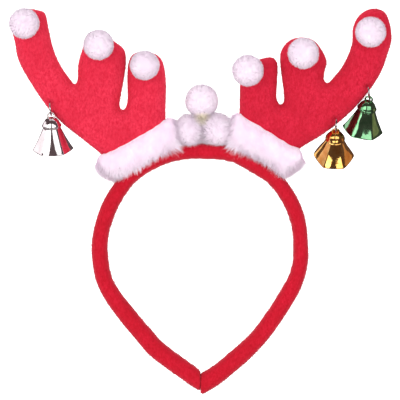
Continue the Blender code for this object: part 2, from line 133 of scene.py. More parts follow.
# Outlines as (x, z), the same as the solids'
LEFT_OUTLINE = (
    (-0.0191, 0.0110), (-0.0200, 0.0250), (-0.0197, 0.0435), (-0.0212, 0.0551),
    (-0.0249, 0.0603), (-0.0319, 0.0624), (-0.0386, 0.0609), (-0.0415, 0.0557),
    (-0.0422, 0.0476), (-0.0420, 0.0360), (-0.0428, 0.0307), (-0.0448, 0.0285),
    (-0.0466, 0.0313), (-0.0455, 0.0389), (-0.0438, 0.0481), (-0.0429, 0.0574),
    (-0.0442, 0.0638), (-0.0496, 0.0682), (-0.0545, 0.0731), (-0.0603, 0.0745),
    (-0.0658, 0.0713), (-0.0682, 0.0638), (-0.0706, 0.0551), (-0.0710, 0.0464),
    (-0.0723, 0.0435), (-0.0745, 0.0452), (-0.0806, 0.0539), (-0.0850, 0.0638),
    (-0.0879, 0.0760), (-0.0897, 0.0842), (-0.0940, 0.0863), (-0.1015, 0.0870),
    (-0.1076, 0.0835), (-0.1092, 0.0760), (-0.1073, 0.0673), (-0.1053, 0.0574),
    (-0.0992, 0.0458), (-0.0886, 0.0301), (-0.0790, 0.0201), (-0.0687, 0.0119),
    (-0.0577, 0.0032), (-0.0516, -0.0020), (-0.0406, -0.0003), (-0.0296, 0.0055),
)
RIGHT_OUTLINE = (
    (0.0225, 0.0110), (0.0229, 0.0280), (0.0231, 0.0412), (0.0235, 0.0493), (0.0264, 0.0551),
    (0.0325, 0.0572), (0.0383, 0.0588), (0.0423, 0.0587), (0.0449, 0.0551), (0.0448, 0.0458),
    (0.0443, 0.0365), (0.0452, 0.0331), (0.0467, 0.0316), (0.0486, 0.0336), (0.0484, 0.0400),
    (0.0472, 0.0487), (0.0464, 0.0574), (0.0474, 0.0635), (0.0518, 0.0686), (0.0585, 0.0706),
    (0.0653, 0.0691), (0.0699, 0.0644), (0.0734, 0.0571), (0.0723, 0.0508), (0.0719, 0.0461),
    (0.0740, 0.0441), (0.0774, 0.0473), (0.0821, 0.0531), (0.0860, 0.0606), (0.0883, 0.0679),
    (0.0887, 0.0760), (0.0922, 0.0832), (0.0991, 0.0871), (0.1063, 0.0858), (0.1097, 0.0800),
    (0.1111, 0.0699), (0.1086, 0.0603), (0.1047, 0.0499), (0.0977, 0.0390), (0.0902, 0.0302),
    (0.0814, 0.0220), (0.0708, 0.0140), (0.0592, 0.0070), (0.0528, 0.0015), (0.0441, -0.0017),
    (0.0331, 0.0046),
)

# White pile. A lock's hairs lean to a point this far out from its middle hair's root
LOCK_REACH = 0.004

# Fur trims: the dense core
TRIM_HALF_DEPTH = 0.0118
TRIM_SQUARENESS = 2.3
TRIM_INSET = 0.0010
TRIM_STEPS = 12
TRIM_SIDES = 64
TRIM_SEAT = 0.0006
TRIM_LUMPS = (0.0060, 0.00022)

# Their hairs. Lift and comb: on the strip's faces, and what its underside adds or takes off
TRIM_HAIRS = 30000
TRIM_LOCKS = 900
TRIM_LOCK_PULL = 0.35
TRIM_LIFT = (0.30, 0.55)
TRIM_COMB = (0.95, 0.75)
TRIM_SPLAY = 0.8
TRIM_DROOP = 0.6
TRIM_SCATTER = (0.22, 0.20)
TRIM_HAIR_LENGTH = (0.0022, 0.0040)
TRIM_HAIR_WIDTH = (0.00012, 0.00024)
TRIM_HAIR_SINK = 0.0003
TRIM_SOFTNESS = 0.65
TRIM_TOP_LOSS = 0.35
TRIM_UNDER_GAIN = 0.6
TRIM_UNDER_SPREAD = 1.6

# At the inner ends the hairs are longer and point to the pompoms
TRIM_END_REACH = 0.0035
TRIM_END_PULL = 0.9
TRIM_END_GAIN = 0.6

# Columns: upper edge (x, z), lower edge (x, z), share of the depth
LEFT_TRIM = (
    (-0.0595, 0.0006, -0.0586, -0.0035, 0.55),
    (-0.0577, 0.0031, -0.0557, -0.0073, 0.88),
    (-0.0534, 0.0055, -0.0487, -0.0104, 1.0),
    (-0.0452, 0.0100, -0.0418, -0.0106, 1.0),
    (-0.0360, 0.0153, -0.0325, -0.0061, 1.0),
    (-0.0267, 0.0205, -0.0232, -0.0009, 1.0),
    (-0.0209, 0.0237, -0.0174, 0.0038, 0.98),
    (-0.0174, 0.0247, -0.0151, 0.0055, 0.92),
    (-0.0157, 0.0232, -0.0141, 0.0075, 0.78),
)
RIGHT_TRIM = (
    (0.0197, 0.0261, 0.0190, 0.0072, 0.78),
    (0.0224, 0.0276, 0.0206, 0.0052, 0.92),
    (0.0267, 0.0255, 0.0244, 0.0032, 1.0),
    (0.0360, 0.0209, 0.0325, -0.0006, 1.0),
    (0.0464, 0.0139, 0.0406, -0.0046, 1.0),
    (0.0539, 0.0094, 0.0458, -0.0096, 1.0),
    (0.0577, 0.0072, 0.0505, -0.0070, 0.95),
    (0.0589, 0.0043, 0.0563, -0.0032, 0.85),
    (0.0595, 0.0017, 0.0586, -0.0015, 0.55),
)

# Pompoms
POMPOM_LEVELS = 28
POMPOM_SIDES = 40
POMPOM_LUMPS = (0.0045, 0.00018)
POMPOM_HAIRS = 8000
POMPOM_LOCKS = 260
POMPOM_LOCK_PULL = 0.25
POMPOM_SCATTER = (0.28, 0.25)
POMPOM_HAIR_WIDTH = (0.00012, 0.00022)
POMPOM_HAIR_SINK = 0.0002
POMPOM_SOFTNESS = 0.85
TINE_POMPOM_FORWARD = 0.0122
CENTRE_POMPOM_FORWARD = 0.0030

# How far the pile's dense core lies inside the ball, and the length of the pile
TINE_PILE = (0.0009, 0.0016)
CENTRE_PILE = (0.0002, 0.0024)

# Columns: name, centre (x, z), half width, half height
TINE_POMPOMS = (
    ("pompom_left_outer", (-0.1014, 0.0780), 0.0090, 0.0090),
    ("pompom_left_middle", (-0.0585, 0.0657), 0.0090, 0.0090),
    ("pompom_left_inner", (-0.0319, 0.0538), 0.0087, 0.0087),
    ("pompom_right_outer", (0.0984, 0.0730), 0.0090, 0.0090),
    ("pompom_right_middle", (0.0596, 0.0608), 0.0092, 0.0092),
    ("pompom_right_inner", (0.0275, 0.0508), 0.0093, 0.0093),
)
CENTRE_POMPOMS = (
    ("pompom_centre_top", (0.0010, 0.0335), 0.0099, 0.0100),
    ("pompom_centre_left", (-0.0064, 0.0162), 0.0080, 0.0091),
    ("pompom_centre_right", (0.0102, 0.0167), 0.0088, 0.0092),
)

# The two hollows between the centre pompoms, which their longer pile closes
PILE_MEETS = ((0.0012, -0.0050, 0.0236), (0.0019, -0.0050, 0.0108))
PILE_MEETS_REACH = 0.0055
PILE_MEETS_GAIN = 1.1
GLUE_REACH = 0.0060

# Bells. Columns: name, point (x, z) where the ring goes into the antler, lean of the ring,
# swing of the bell's mouth to the back, lean of the bell; angles in degrees
BELLS = (
    ("silver", (-0.0869, 0.0327), -6.0, 23.0, -2.5),
    ("gold", (0.0787, 0.0233), 1.0, 49.0, 2.0),
    ("green", (0.0970, 0.0420), -9.0, 33.0, 10.0),
)
RING_RADIUS = 0.0038
RING_WIRE = 0.0005
RING_FORWARD = 0.0052
RING_SLIT = 0.03
RING_SIDES = 90
LOOP_SIDES = 48
WIRE_SIDES = 14
LOOP_RADIUS = 0.0020
LOOP_WIRE = 0.00055
LOOP_SINK = 0.0016
LOOP_PLAY = 0.0005
BELL_SIDES = 120
BELL_STEPS = 4
BELL_WALL = 0.0008
BELL_LIP = 0.0004
BELL_LIP_STEPS = 8
BELL_AXIS_GAP = 0.0004
BELL_HEIGHT = 0.0196
BELL_SQUARING = 0.80
BELL_CORNER_COUNT = 6
BELL_CORNER_ROUNDING = 0.06
BELL_LEDGE = 0.0048
BELL_PROFILE = (
    (0.0003, 0.0000), (0.0018, 0.0002), (0.0036, 0.0014), (0.0048, 0.0032), (0.0053, 0.0044),
    (0.0057, BELL_LEDGE), (0.0057, 0.0053), (0.0051, 0.0057), (0.0052, 0.0063), (0.0064, 0.0090),
    (0.0079, 0.0123), (0.0096, 0.0156), (0.0109, 0.0180), (0.0119, BELL_HEIGHT),
)
CLAPPER_BALL = 0.0020
CLAPPER_STEM = 0.0006
CLAPPER_DROP = 0.0105
CLAPPER_SIDES = 32
CLAPPER_BALL_STEPS = 16

# Camera and stage
PIXEL = 0.00058
PHOTO_SIDE = 400
VIEW_CENTRE = (0.0, -0.0238)
LENS = 300.0
SENSOR = 36.0
FLOOR_LEVEL = -3.00
FLOOR_HALF_WIDTH = 6.0
FLOOR_FRONT = -3.0
BACKDROP_DISTANCE = 3.8
BACKDROP_TOP = 5.0
BACKDROP_GLOW = 0.9
ROOM_REACH = 6.0
ROOM_COLOUR = (0.055, 0.034, 0.037)
WORLD_STRENGTH = 0.79

# Softboxes. Columns: name, centre, width and height, radiance, colour. The front and the low ones
# face straight back, and the others face the origin
SOFTBOXES = (
    ("front_left", (-1.85, -2.3, 0.28), (2.80, 1.26), 2.2, (1.0, 1.0, 1.0)),
    ("front_right", (1.50, -2.3, 0.155), (2.80, 1.51), 1.5, (1.0, 1.0, 1.0)),
    ("low_left", (-1.00, -2.3, -2.05), (1.60, 0.90), 2.4, (1.0, 0.98, 0.92)),
    ("low_right", (1.16, -2.3, -2.05), (1.60, 0.90), 2.4, (1.0, 0.98, 0.92)),
    ("quarter_left", (-2.80, -0.90, 0.30), (1.80, 1.20), 1.2, (1.0, 0.95, 0.97)),
    ("side_left", (-1.40, 0.50, 0.45), (1.20, 0.60), 1.1, (1.0, 0.93, 0.96)),
    ("side_right", (1.40, 0.30, -0.10), (0.60, 0.30), 0.40, (1.0, 0.55, 0.30)),
    ("top", (0.0, 0.0, 1.20), (1.20, 0.80), 1.0, (1.0, 1.0, 1.0)),
)


def smooth_points(points, steps, closed):
    """Points on a smooth curve through the rows of a table, a number of steps to each row."""
    rows = [np.array(p, float) for p in points]
    count = len(rows)
    out = []
    for i in range(count if closed else count - 1):
        before = rows[(i - 1) % count] if closed or i > 0 else 2 * rows[0] - rows[1]
        after = rows[(i + 2) % count] if closed or i + 2 < count else 2 * rows[-1] - rows[-2]
        a, b = rows[i], rows[(i + 1) % count]
        for k in range(steps):
            t = k / steps
            out.append(0.5 * (2 * a + (b - before) * t
                              + (2 * before - 5 * a + 4 * b - after) * t * t
                              + (3 * a - before - 3 * b + after) * t ** 3))
    if not closed:
        out.append(rows[-1])
    return np.array(out)


def along_curve(line, stops):
    """Points of a curve at given shares of its length."""
    travel = np.concatenate([[0.0], np.cumsum(np.linalg.norm(np.diff(line, axis=0), axis=1))])
    return np.column_stack([np.interp(np.array(stops) * travel[-1], travel, line[:, k])
                            for k in range(line.shape[1])])


def closed_rim(outline, spacing):
    """Evenly spaced points round a smooth closed outline."""
    line = smooth_points(outline, CURVE_STEPS, closed=True)
    line = np.vstack([line, line[:1]])
    length = float(np.linalg.norm(np.diff(line, axis=0), axis=1).sum())
    count = round(length / spacing)
    return along_curve(line, np.arange(count) / count)


def inward(rim):
    """The direction into a closed outline at each of its points."""
    ahead = np.roll(rim, -1, axis=0)
    turning = math.copysign(1.0, float((rim[:, 0] * ahead[:, 1] - ahead[:, 0] * rim[:, 1]).sum()))
    along = ahead - np.roll(rim, 1, axis=0)
    along = along / np.linalg.norm(along, axis=1)[:, None]
    return np.column_stack([-along[:, 1], along[:, 0]]) * turning


def nearest_on_rim(points, rim):
    """How far each point lies from a closed outline, and the nearest outline point's number."""
    distances = np.empty(len(points))
    numbers = np.empty(len(points), int)
    start = rim[None, :, :]
    run = np.roll(rim, -1, axis=0)[None, :, :] - start
    for first in range(0, len(points), SEARCH_BLOCK):
        part = slice(first, first + SEARCH_BLOCK)
        offset = points[part, None, :] - start
        t = np.clip((offset * run).sum(2) / (run * run).sum(2), 0.0, 1.0)
        square = ((offset - t[:, :, None] * run) ** 2).sum(2)
        numbers[part] = square.argmin(1)
        distances[part] = np.sqrt(square.min(1))
    return distances, numbers


def inside(points, rim):
    """Whether each point lies inside a closed outline."""
    x, z = points[:, 0][:, None], points[:, 1][:, None]
    x0, z0 = rim[:, 0][None], rim[:, 1][None]
    x1, z1 = np.roll(rim[:, 0], -1)[None], np.roll(rim[:, 1], -1)[None]
    rise = np.where(np.abs(z1 - z0) < TINY, TINY, z1 - z0)
    crossed = ((z0 > z) != (z1 > z)) & (x < x0 + (z - z0) * (x1 - x0) / rise)
    return crossed.sum(1) % 2 == 1


def relief(points, size, seed, waves=16):
    """Smooth random relief, mostly between -1 and 1; size is the width of its bumps."""
    rng = np.random.default_rng(seed)
    total = np.zeros(len(points))
    for _ in range(waves):
        heading = rng.normal(size=points.shape[1])
        heading /= np.linalg.norm(heading)
        pitch = 2 * math.pi / size * rng.uniform(0.6, 1.5)
        total += np.sin(points @ heading * pitch + rng.uniform(0, 2 * math.pi))
    return total / math.sqrt(2.0 * waves)


def unit(vectors):
    return vectors / np.maximum(np.linalg.norm(vectors, axis=1), LEAST_LENGTH)[:, None]


def make_piece(name, verts, faces, look, nodes=(), normals=None):
    """A mesh piece of the object with its material, slot and the CAD nodes it stands for."""
    mesh = bpy.data.meshes.new(name)
    mesh.from_pydata(np.asarray(verts).tolist(), [], [list(map(int, f)) for f in faces])
    mesh.shade_smooth()
    mesh.materials.append(look)
    if normals is not None:
        mesh.normals_split_custom_set_from_vertices(unit(normals).tolist())
    made = bpy.data.objects.new(name, mesh)
    bpy.context.scene.collection.objects.link(made)
    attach(made, "root")
    if nodes:
        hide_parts(*nodes)
    return made


def loft_faces(rings, sides, closed_ends=True):
    """Quads that join rings of equal length, with both ends closed."""
    first = np.arange(rings - 1)[:, None] * sides
    here = np.arange(sides)[None, :]
    after = (here + 1) % sides
    quads = np.stack([first + here, first + after, first + sides + after, first + sides + here], 2)
    faces = quads.reshape(-1, 4).tolist()
    if closed_ends:
        faces.append(list(range(sides))[::-1])
        faces.append(list(range((rings - 1) * sides, rings * sides)))
    return faces


def face_outward(verts, faces):
    """The faces turned so that a closed shape's volume is positive."""
    verts = np.asarray(verts)
    volume = 0.0
    for face in faces:
        a = verts[face[0]]
        for k in range(1, len(face) - 1):
            volume += float(np.dot(a, np.cross(verts[face[k]], verts[face[k + 1]])))
    return [list(f)[::-1] for f in faces] if volume < 0.0 else [list(f) for f in faces]


def vertex_normals(verts, faces):
    """Area-weighted normal of each vertex."""
    verts = np.asarray(verts)
    out = np.zeros_like(verts)
    tris = np.array([(f[0], f[k], f[k + 1]) for f in faces for k in range(1, len(f) - 1)])
    cross = np.cross(verts[tris[:, 1]] - verts[tris[:, 0]], verts[tris[:, 2]] - verts[tris[:, 0]])
    for k in range(3):
        np.add.at(out, tris[:, k], cross)
    return unit(out)


def scatter(verts, faces, normals, count, seed):
    """Random points spread evenly over a surface, with the surface's normal at each."""
    rng = np.random.default_rng(seed)
    verts = np.asarray(verts)
    tris = np.array([(f[0], f[k], f[k + 1]) for f in faces for k in range(1, len(f) - 1)])
    a, b, c = verts[tris[:, 0]], verts[tris[:, 1]], verts[tris[:, 2]]
    area = np.linalg.norm(np.cross(b - a, c - a), axis=1)
    pick = rng.choice(len(tris), size=count, p=area / area.sum())
    u, v = rng.random(count), rng.random(count)
    over = u + v > 1.0
    u[over], v[over] = 1.0 - u[over], 1.0 - v[over]
    w = 1.0 - u - v
    spots = a[pick] * w[:, None] + b[pick] * u[:, None] + c[pick] * v[:, None]
    na, nb, nc = normals[tris[pick, 0]], normals[tris[pick, 1]], normals[tris[pick, 2]]
    return spots, unit(na * w[:, None] + nb * u[:, None] + nc * v[:, None])


def strands(roots, normals, first, second, length, width, softness):
    """Tapered ribbons with one bend. first and second are the directions of the lower and the
    upper half. Returns vertices, faces and the normals, which softness turns to the surface's."""
    count = len(roots)
    middle = roots + first * (0.5 * length)[:, None]
    tip = middle + second * (0.5 * length)[:, None]
    side = unit(np.cross(first, normals) + TINY)
    flat = np.cross(side, first)
    flip = (flat * normals).sum(1) < 0.0
    side[flip] *= -1.0
    flat[flip] *= -1.0
    half = side * (0.5 * width)[:, None]
    verts = np.stack([roots - half, roots + half, middle + 0.8 * half, middle - 0.8 * half, tip], 1)
    base = np.arange(count)[:, None] * 5
    quads = (base + np.array([[0, 1, 2, 3]])).tolist()
    tips = (base + np.array([[3, 2, 4]])).tolist()
    shade = unit(normals * softness + flat * (1.0 - softness))
    return verts.reshape(-1, 3), quads + tips, np.repeat(shade, 5, axis=0)


def blades(roots, directions, normals, length, width):
    """Single triangles, for a short nap."""
    side = unit(np.cross(directions, normals) + TINY)
    half = side * (0.5 * width)[:, None]
    verts = np.stack([roots - half, roots + half, roots + directions * length[:, None]], 1)
    faces = (np.arange(len(roots))[:, None] * 3 + np.array([[0, 1, 2]])).tolist()
    return verts.reshape(-1, 3), faces, np.repeat(normals, 3, axis=0)


# Materials. The white pile gets a faint painted glow that lightens its shade in the creases and between
# the hairs, in place of the light that passes on between them
PILE_PAINTED_GLOW = 0.13


def node(tree, kind, inputs=None, **settings):
    made = tree.nodes.new(kind)
    for key, value in settings.items():
        setattr(made, key, value)
    for key, value in (inputs or {}).items():
        made.inputs[key].default_value = value
    return made


def noise(tree, scale, detail=3.0, roughness=0.55, stretch=1.0):
    """Noise in the object's own coordinates, in metres; stretch draws it out along Z."""
    place = node(tree, "ShaderNodeTexCoord")
    shrink = node(tree, "ShaderNodeMapping", {"Scale": (1.0, 1.0, 1.0 / stretch)})
    made = node(tree, "ShaderNodeTexNoise",
                {"Scale": scale, "Detail": detail, "Roughness": roughness})
    tree.links.new(place.outputs["Object"], shrink.inputs["Vector"])
    tree.links.new(shrink.outputs["Vector"], made.inputs["Vector"])
    return made.outputs["Fac"]


def ranged(tree, value, low, high, to_low, to_high):
    made = node(tree, "ShaderNodeMapRange", {"From Min": low, "From Max": high,
                                             "To Min": to_low, "To Max": to_high})
    tree.links.new(value, made.inputs["Value"])
    return made.outputs["Result"]


def spread(tree, value, low, high):
    """The part of a value between two limits, drawn out to the range from 0 to 1."""
    return ranged(tree, value, low, high, 0.0, 1.0)


def mixed(tree, factor, first, second):
    """A colour between two others; each of them is a colour or a socket."""
    made = node(tree, "ShaderNodeMix", data_type="RGBA")
    tree.links.new(factor, made.inputs["Factor"])
    for name, value in (("A", first), ("B", second)):
        socket = [s for s in made.inputs if s.name == name and s.type == "RGBA"][0]
        if isinstance(value, tuple):
            socket.default_value = (*value, 1.0)
        else:
            tree.links.new(value, socket)
    return [s for s in made.outputs if s.type == "RGBA"][0]


def bumped(tree, height, distance, strength, under=None):
    made = node(tree, "ShaderNodeBump", {"Strength": strength, "Distance": distance})
    tree.links.new(height, made.inputs["Height"])
    if under is not None:
        tree.links.new(under, made.inputs["Normal"])
    return made.outputs["Normal"]


def linear(red, green, blue):
    """A colour given in sRGB steps from 0 to 255, as the shaders take it."""
    return tuple(((c / 255 + 0.055) / 1.055) ** 2.4 for c in (red, green, blue))


def new_material(name):
    made = bpy.data.materials.new(name)
    made.use_nodes = True
    return made, made.node_tree, made.node_tree.nodes["Principled BSDF"]


def plush_material(name, dark, light, sheen):
    """Short-nap plush: soft patches, brushed streaks, a fine grain and a soft sheen."""
    made, tree, shader = new_material(name)
    patches = spread(tree, noise(tree, 90.0, detail=2.0), 0.35, 0.65)
    streaks = spread(tree, noise(tree, 1000.0, roughness=0.70, stretch=1.8), 0.32, 0.68)
    middle = tuple(0.5 * (a + b) for a, b in zip(dark, light))
    brushed = mixed(tree, patches, middle, light)
    colour = mixed(tree, streaks, dark, brushed)
    tree.links.new(colour, shader.inputs["Base Color"])
    tree.links.new(ranged(tree, patches, 0.0, 1.0, 0.86, 0.97), shader.inputs["Roughness"])
    coarse = bumped(tree, noise(tree, 420.0, stretch=2.0), distance=0.00025, strength=0.5)
    fine = bumped(tree, noise(tree, 2200.0, detail=2.0, stretch=2.0), distance=0.00012, strength=0.6,
                  under=coarse)
    tree.links.new(fine, shader.inputs["Normal"])
    shader.inputs["Specular IOR Level"].default_value = 0.15
    shader.inputs["Sheen Weight"].default_value = sheen
    shader.inputs["Sheen Roughness"].default_value = 0.45
    shader.inputs["Sheen Tint"].default_value = (1.0, 0.45, 0.55, 1.0)
    return made


def fur_material(name, shade, light, spot=None):
    """White pile with faint pink patches and a painted glow that lightens its shade; spot is where cream
    glue shows through.
    """
    made, tree, shader = new_material(name)
    patches = spread(tree, noise(tree, 160.0), 0.32, 0.68)
    colour = mixed(tree, patches, shade, light)
    if spot is not None:
        centre, reach, cream = spot
        place = node(tree, "ShaderNodeTexCoord")
        apart = node(tree, "ShaderNodeVectorMath", operation="DISTANCE")
        apart.inputs[1].default_value = centre
        tree.links.new(place.outputs["Object"], apart.inputs[0])
        near = ranged(tree, apart.outputs["Value"], 0.3 * reach, reach, 1.0, 0.0)
        colour = mixed(tree, near, colour, cream)
    tree.links.new(colour, shader.inputs["Base Color"])
    tree.links.new(ranged(tree, patches, 0.0, 1.0, 0.8, 0.95), shader.inputs["Roughness"])
    grain = bumped(tree, noise(tree, 1800.0, detail=2.0), distance=0.0002, strength=0.4)
    tree.links.new(grain, shader.inputs["Normal"])
    shader.inputs["Specular IOR Level"].default_value = 0.2
    shader.inputs["Sheen Weight"].default_value = 0.3
    shader.inputs["Sheen Roughness"].default_value = 0.5
    # A faint pink painted glow that lightens the pile's shade
    shader.inputs["Emission Color"].default_value = (1.0, 0.93, 0.97, 1.0)
    shader.inputs["Emission Strength"].default_value = PILE_PAINTED_GLOW
    return made


def metal_material(name, worn, bright, polished, clouded):
    """Plated metal: two colours and two roughnesses in faint clouds, and fine dents."""
    made, tree, shader = new_material(name)
    clouds = spread(tree, noise(tree, 220.0, detail=4.0), 0.35, 0.65)
    tree.links.new(mixed(tree, clouds, worn, bright), shader.inputs["Base Color"])
    tree.links.new(ranged(tree, clouds, 0.0, 1.0, clouded, polished), shader.inputs["Roughness"])
    dents = bumped(tree, noise(tree, 300.0, detail=2.0), distance=0.0001, strength=0.20)
    tree.links.new(dents, shader.inputs["Normal"])
    shader.inputs["Metallic"].default_value = 1.0
    return made


# One plush in two copies: the left antler's colours are painted lighter and the right one's darker,
# painted light and shade of a light from the left; the left copy also has more sheen
ANTLER_LIT_AND_SHADED_LOOKS = {
    "left": plush_material("antler_plush_left_painted_light", linear(206, 30, 56), linear(237, 60, 87), 0.25),
    "right": plush_material("antler_plush_right_painted_shade", linear(192, 22, 46), linear(222, 44, 72), 0.20),
}
BAND_LOOK = plush_material("band_plush", linear(182, 11, 33), linear(207, 28, 52), 0.20)
TRIM_LOOK = fur_material("white_fur", linear(236, 217, 233), linear(243, 232, 242))
PILE_COLOURS = (linear(237, 220, 235), linear(242, 230, 241))
POMPOM_LOOK = fur_material("white_pompom", *PILE_COLOURS)
GLUE_SPOT = (PILE_MEETS[0], GLUE_REACH, linear(247, 236, 200))
CENTRE_LOOK = fur_material("white_pompom_centre", *PILE_COLOURS, GLUE_SPOT)
METALS = {
    "silver": metal_material("silver_plate", (0.80, 0.78, 0.78), (0.93, 0.92, 0.92), 0.03, 0.08),
    "gold": metal_material("gold_plate", (0.78, 0.38, 0.09), (0.97, 0.64, 0.20), 0.04, 0.09),
    "green": metal_material("green_plate", (0.16, 0.42, 0.20), (0.28, 0.60, 0.32), 0.04, 0.09),
}
RING_LOOK = metal_material("ring_steel", (0.55, 0.54, 0.54), (0.80, 0.79, 0.78), 0.14, 0.25)
CLAPPER_LOOK = metal_material("clapper_steel", (0.42, 0.41, 0.40), (0.66, 0.65, 0.64), 0.25, 0.40)


# Headband
def band_section(angle):
    c, s = np.cos(angle), np.sin(angle)
    power = 2 / BAND_SQUARENESS
    return np.sign(c) * np.abs(c) ** power, np.sign(s) * np.abs(s) ** power


def band_line():
    """The strip's middle line and the direction across it, at every station."""
    stops = np.linspace(0.0, 1.0, BAND_STATIONS)
    path = along_curve(smooth_points(BAND_PATH, CURVE_STEPS, closed=False), stops)
    along = np.gradient(path, axis=0)
    along = along / np.linalg.norm(along, axis=1)[:, None]
    across = np.column_stack([-along[:, 1], along[:, 0]])
    upright = np.clip(1.0 - np.minimum(stops, 1.0 - stops) / BAND_END_TURN, 0.0, 1.0)[:, None]
    vertical = np.column_stack([np.zeros(BAND_STATIONS), np.sign(across[:, 1])])
    return stops, path, unit(across * (1.0 - upright) + vertical * upright)


def band_piece():
    """The padded strip: soft cross wrinkles on its inner side and a seam along its back."""
    stops, path, across = band_line()
    length = BAND_LENGTH * stops
    angle = 2 * math.pi * np.arange(BAND_SIDES) / BAND_SIDES
    out, deep = band_section(angle)
    end = np.minimum(stops, 1.0 - stops)
    scale = 1.0 + (BAND_END_SCALE - 1.0) * np.exp(-(end / BAND_END_SWELL) ** 2)
    near_end = np.clip(end / BAND_END_ROUNDING, 0.0, 1.0)
    rounding = np.sqrt(np.clip(1.0 - (1.0 - near_end) ** 2, 0.0, 1.0))
    scale = scale * (1.0 - BAND_END_LOSS + BAND_END_LOSS * rounding)
    lumps = relief(length[:, None], BAND_LUMP_SIZE, SEED, waves=8) * BAND_LUMP_SHARE
    shares, halves = np.array(BAND_PADDING).T
    thick = np.interp(stops, shares, halves)
    rings = []
    for i in range(BAND_STATIONS):
        half = thick[i] * scale[i] * (1.0 + lumps[i])
        depth = BAND_HALF_DEPTH * min(scale[i], 1.0)
        x = path[i, 0] + across[i, 0] * out * half
        z = path[i, 1] + across[i, 1] * out * half
        rings.append(np.column_stack([x, deep * depth, z]))
    verts = np.vstack(rings)
    faces = face_outward(verts, loft_faces(BAND_STATIONS, BAND_SIDES))
    normals = vertex_normals(verts, faces)
    along = np.repeat(length, BAND_SIDES)
    around = np.tile(angle, BAND_STATIONS)
    wander = np.column_stack([along, BAND_WRINKLE_WANDER * around])
    wrinkles = relief(wander, BAND_WRINKLE_SIZE, SEED + 1)
    inner_side = np.clip(0.5 - 0.8 * np.tile(out, BAND_STATIONS), 0.15, 1.0)
    seam = np.exp(-((around - 0.5 * math.pi) / BAND_SEAM_WIDTH) ** 2)
    move = BAND_WRINKLE_HEIGHT * wrinkles * inner_side - BAND_SEAM_DEPTH * seam
    verts = verts + normals * move[:, None]
    piece = make_piece("headband_plush", verts, faces, BAND_LOOK, ["headband"])
    return verts, faces, vertex_normals(verts, faces)


def nap_piece(name, surface, count, look, seed):
    """The short pile of a plush surface."""
    verts, faces, normals = surface
    spots, up = scatter(verts, faces, normals, count, seed)
    rng = np.random.default_rng(seed + 1)
    comb = np.array(NAP_COMB) * NAP_COMB_SHARE
    heading = unit(up * NAP_LIFT + comb + rng.normal(0.0, NAP_SCATTER, spots.shape))
    length = rng.uniform(*NAP_LENGTH, count)
    width = rng.uniform(*NAP_WIDTH, count)
    verts, faces, normals = blades(spots - up * NAP_SINK, heading, up, length, width)
    make_piece(name, verts, faces, look, normals=normals)


# Antlers
def flat_triangles(rim):
    """The outline's inside as points and triangles, none with all its corners on the rim."""
    layers = [rim]
    for distance in ANTLER_INSETS:
        moved = rim + inward(rim) * distance
        apart = nearest_on_rim(moved, rim)[0]
        layers.append(moved[(apart > 0.9 * distance) & inside(moved, rim)])
    low, high = rim.min(0), rim.max(0)
    levels = np.arange(low[1], high[1], ANTLER_PITCH * math.sqrt(0.75))
    grid = np.array([(x + 0.5 * ANTLER_PITCH * (i % 2), z)
                     for i, z in enumerate(levels) for x in np.arange(low[0], high[0], ANTLER_PITCH)])
    grid = grid[inside(grid, rim)]
    layers.append(grid[nearest_on_rim(grid, rim)[0] > ANTLER_INSETS[-1] + 0.5 * ANTLER_SPACING])
    points = np.vstack(layers)
    count = len(rim)
    while True:
        found = geometry.delaunay_2d_cdt([Vector(p) for p in points], [], [list(range(count))],
                                         1, TINY)
        points = np.array([tuple(p) for p in found[0]])
        ears = [points[list(tri)].mean(0) for tri in found[2] if max(tri) < count]
        if not ears:
            return points, [tuple(tri) for tri in found[2]]
        points = np.vstack([points, ears])


def hollowness(rim):
    """How strongly the outline turns inward at each point, as at the bottom of a slit."""
    ahead = np.roll(rim, -SLIT_STEP, axis=0) - rim
    behind = rim - np.roll(rim, SLIT_STEP, axis=0)
    toward = (ahead - behind) / (SLIT_STEP * ANTLER_SPACING)
    return np.clip(-(toward * inward(rim)).sum(1), 0.0, 1.0)


def antler_relief(points, apart, travel, hollow, seed):
    """Lumps, gathers and pull of one face: what they add to its height at each point."""
    lumps = relief(points, WIDE_LUMPS[0], seed) * WIDE_LUMPS[1]
    lumps = lumps + relief(points, SMALL_LUMPS[0], seed + 1) * SMALL_LUMPS[1]
    gather = relief(np.column_stack([travel, GATHER_SLANT * apart]), GATHER_SIZE, seed + 2)
    gather = gather * (GATHER_AT_SEAM + GATHER_IN_SLITS * hollow) * np.exp(-apart / GATHER_REACH)
    pull = SLIT_PULL * hollow * np.exp(-apart / SLIT_PULL_REACH)
    return (lumps + gather - pull) * np.clip(apart / SEAM_FADE, 0.0, 1.0)


